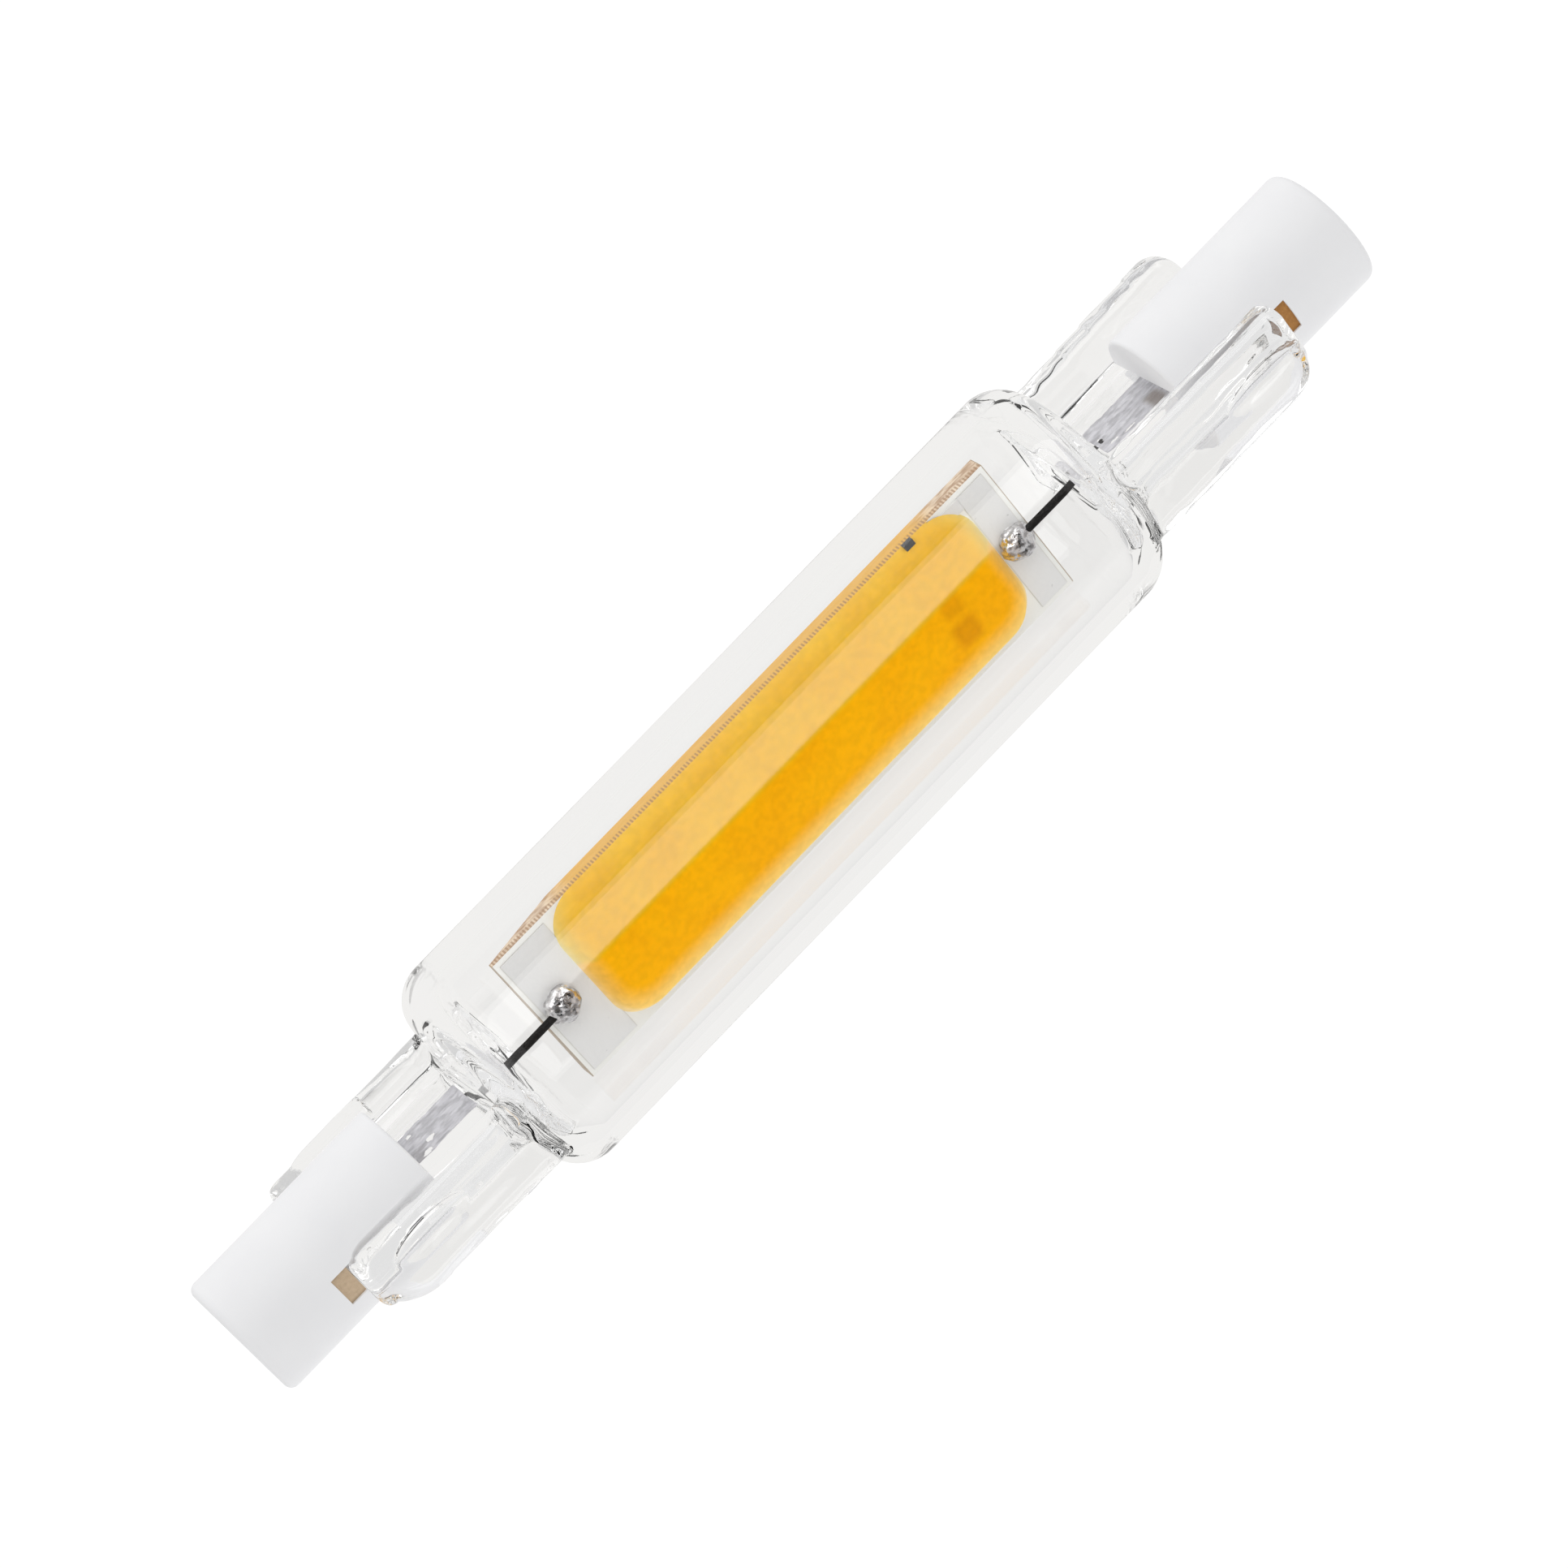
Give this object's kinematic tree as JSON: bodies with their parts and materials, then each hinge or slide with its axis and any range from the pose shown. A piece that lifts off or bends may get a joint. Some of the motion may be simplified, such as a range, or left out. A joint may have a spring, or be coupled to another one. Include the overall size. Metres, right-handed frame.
{
  "type": "linear led bulb",
  "caption": "Double-ended linear LED bulb: a clear glass tube pinched at both ends, with a phosphor strip on a ceramic board inside and slotted ceramic end caps.",
  "frame": {"origin": "middle of the bulb, on the axis of the glass tube", "axes": "+X along the bulb to the end where the resistor is, +Z the way the lit face looks, Y across the board; the pinches stand in the XZ plane"},
  "size_m": [0.078, 0.0132, 0.0132],
  "materials": {
    "clear_glass": "clear, pressed at the pinches",
    "cap_ceramic": "matt, unglazed",
    "cement": "rough, brown",
    "contact_metal": "plated",
    "foil": "dull grey, streaked",
    "lead_wire": "dark, oxidised",
    "solder": "bright",
    "solder_pad": "printed, matt silver",
    "board_ceramic": "white, matt",
    "phosphor": "orange silicone, satin",
    "chip": "bare silicon, polished",
    "led_chip": "bare, translucent"
  },
  "bodies": {
    "root": {"glass_envelope": "clear_glass", "ceramic_cap_left": "cap_ceramic", "ceramic_cap_right": "cap_ceramic", "cement_left": "cement", "cement_right": "cement", "contact_button_left": "contact_metal", "contact_button_right": "contact_metal", "outer_lead_left": "lead_wire", "outer_lead_right": "lead_wire", "foil_left": "foil", "foil_right": "foil", "inner_lead_left": "lead_wire", "inner_lead_right": "lead_wire", "solder_joint_left": "solder", "solder_joint_right": "solder", "solder_pad_left": "solder_pad", "solder_pad_right": "solder_pad", "ceramic_board": "board_ceramic", "phosphor_strip": "phosphor", "led_chips": "led_chip", "driver_chip": "chip", "rectifier_chip": "chip", "chip_resistor": "chip"}
  },
  "joints": []
}
